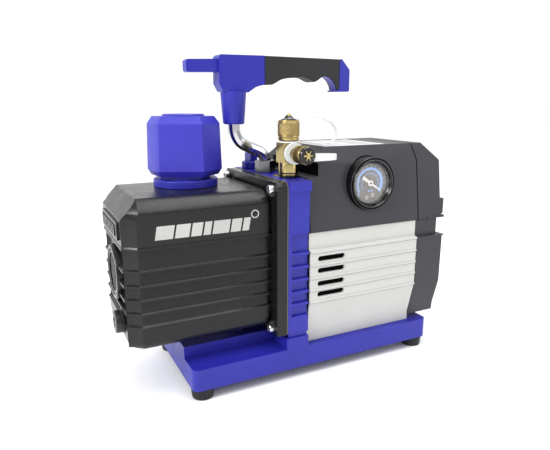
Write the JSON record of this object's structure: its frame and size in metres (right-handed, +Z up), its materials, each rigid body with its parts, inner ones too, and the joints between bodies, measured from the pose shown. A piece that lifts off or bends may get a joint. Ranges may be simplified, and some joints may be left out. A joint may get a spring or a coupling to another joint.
{
  "type": "rotary vane vacuum pump",
  "caption": "Portable oil-sealed rotary vane vacuum pump: ribbed oil casing, exhaust cap, capped intake fitting, vacuum gauge, motor under covers, carrying handle and base tray.",
  "frame": {"origin": "on the surface that the feet stand on, under the middle of the pump's box", "axes": "+X along the shaft from the oil casing towards the motor's fan end, +Y away from the gauge and the front intake cap, +Z up"},
  "size_m": [0.3462, 0.1394, 0.3108],
  "materials": {
    "blue_plastic": "satin moulded plastic, strong blue",
    "black_casting": "satin black powder coat on an aluminium casting",
    "dark_cover": "fine-grained dark grey moulded plastic",
    "silver_cover": "light grey silver paint on aluminium",
    "brass": "turned brass, knurled on the caps",
    "chrome": "polished chrome",
    "steel": "bright machined steel",
    "cast_iron": "machined cast iron",
    "foot_rubber": "black rubber",
    "gasket_paper": "pale gasket sheet",
    "clear_glass": "clear",
    "gauge_glass": "clear",
    "clear_plastic": "milky translucent strap plastic",
    "gauge_dial": "grey printed dial",
    "white_paint": "white paint",
    "copper": "copper",
    "felt": "filter felt",
    "black_plastic": "black moulded plastic",
    "grip_rubber": "soft matt black overmould"
  },
  "bodies": {
    "pump_body": {"base_tray": "blue_plastic", "exhaust_neck": "blue_plastic", "centre_housing": "blue_plastic", "handle_core": "blue_plastic", "foot_front_left": "foot_rubber", "foot_front_right": "foot_rubber", "foot_rear_left": "foot_rubber", "foot_rear_right": "foot_rubber", "intake_seal": "foot_rubber", "shaft_seal": "foot_rubber", "top_cap_button": "foot_rubber", "front_cap_button": "foot_rubber", "oil_casing": "black_casting", "sight_glass_bezel": "black_casting", "casing_gasket": "gasket_paper", "casing_screw_1": "steel", "casing_screw_2": "steel", "casing_screw_3": "steel", "casing_screw_4": "steel", "sight_glass": "clear_glass", "exhaust_filter": "felt", "intake_fitting": "brass", "oil_plug": "brass", "top_tether": "clear_plastic", "front_tether": "clear_plastic", "handle_nut": "chrome", "handle_tube": "chrome", "handle_grip": "grip_rubber", "motor_cover": "silver_cover", "upper_cover": "dark_cover", "upper_end_cover": "dark_cover", "fan_cover": "dark_cover", "power_inlet": "black_plastic", "gauge_case": "black_plastic", "run_capacitor": "black_plastic", "gauge_dial": "gauge_dial", "gauge_glass": "gauge_glass", "gauge_tube": "copper", "pump_cylinder": "cast_iron", "pump_end_plate": "cast_iron", "exhaust_valve": "steel", "front_bearing": "steel", "rear_bearing": "steel", "motor_stator": "copper", "front_shield": "silver_cover", "rear_shield": "silver_cover"},
    "drive": {"pump_rotor": "steel", "vane_spring": "steel", "motor_shaft": "steel", "motor_rotor": "steel", "cooling_fan": "black_plastic"},
    "vane_1_body": {"vane_1": "black_plastic"},
    "vane_2_body": {"vane_2": "black_plastic"},
    "exhaust_cap_body": {"exhaust_cap": "blue_plastic"},
    "ballast_knob_body": {"gas_ballast_knob": "blue_plastic"},
    "top_cap_body": {"top_cap": "brass"},
    "front_cap_body": {"front_cap": "brass"},
    "drain_plug_body": {"drain_plug": "black_plastic"},
    "gauge_needle_body": {"gauge_needle": "white_paint"},
    "switch_rocker_body": {"switch_rocker": "black_plastic"}
  },
  "joints": [
    {"name": "drive_spin", "type": "hinge", "parent": "pump_body", "child": "drive", "pos_m": [0.0027, 0.00365, 0.104], "axis": [1, 0, 0], "continuous": true},
    {"name": "vane_1_slide", "type": "slide", "parent": "drive", "child": "vane_1_body", "axis": [0, 1, 0], "range_m": [0, 0.003]},
    {"name": "vane_2_slide", "type": "slide", "parent": "drive", "child": "vane_2_body", "axis": [0, -1, 0], "range_m": [0, 0.003]},
    {"name": "exhaust_cap_turn", "type": "hinge", "parent": "pump_body", "child": "exhaust_cap_body", "pos_m": [-0.0903, 0.01965, 0.225], "axis": [0, 0, 1], "range_deg": [0, 540]},
    {"name": "gas_ballast_turn", "type": "hinge", "parent": "pump_body", "child": "ballast_knob_body", "pos_m": [-0.0068, 0.05065, 0.205], "axis": [0, 0, 1], "range_deg": [0, 180]},
    {"name": "top_cap_turn", "type": "hinge", "parent": "pump_body", "child": "top_cap_body", "pos_m": [-0.0033, -0.03035, 0.24], "axis": [0, 0, 1], "range_deg": [0, 720]},
    {"name": "front_cap_turn", "type": "hinge", "parent": "pump_body", "child": "front_cap_body", "pos_m": [-0.0033, -0.05635, 0.22], "axis": [0, -1, 0], "range_deg": [0, 720]},
    {"name": "drain_plug_turn", "type": "hinge", "parent": "pump_body", "child": "drain_plug_body", "pos_m": [-0.1693, -0.02135, 0.076], "axis": [-1, 0, 0], "range_deg": [0, 720]},
    {"name": "gauge_needle_turn", "type": "hinge", "parent": "pump_body", "child": "gauge_needle_body", "pos_m": [0.0753, -0.05585, 0.1886], "axis": [0, -1, 0], "range_deg": [0, 250], "stiffness_Nm_per_rad": 0.0002},
    {"name": "switch_rock", "type": "hinge", "parent": "pump_body", "child": "switch_rocker_body", "pos_m": [0.1657, -0.01835, 0.186], "axis": [0, -1, 0], "range_deg": [0, 14]}
  ]
}
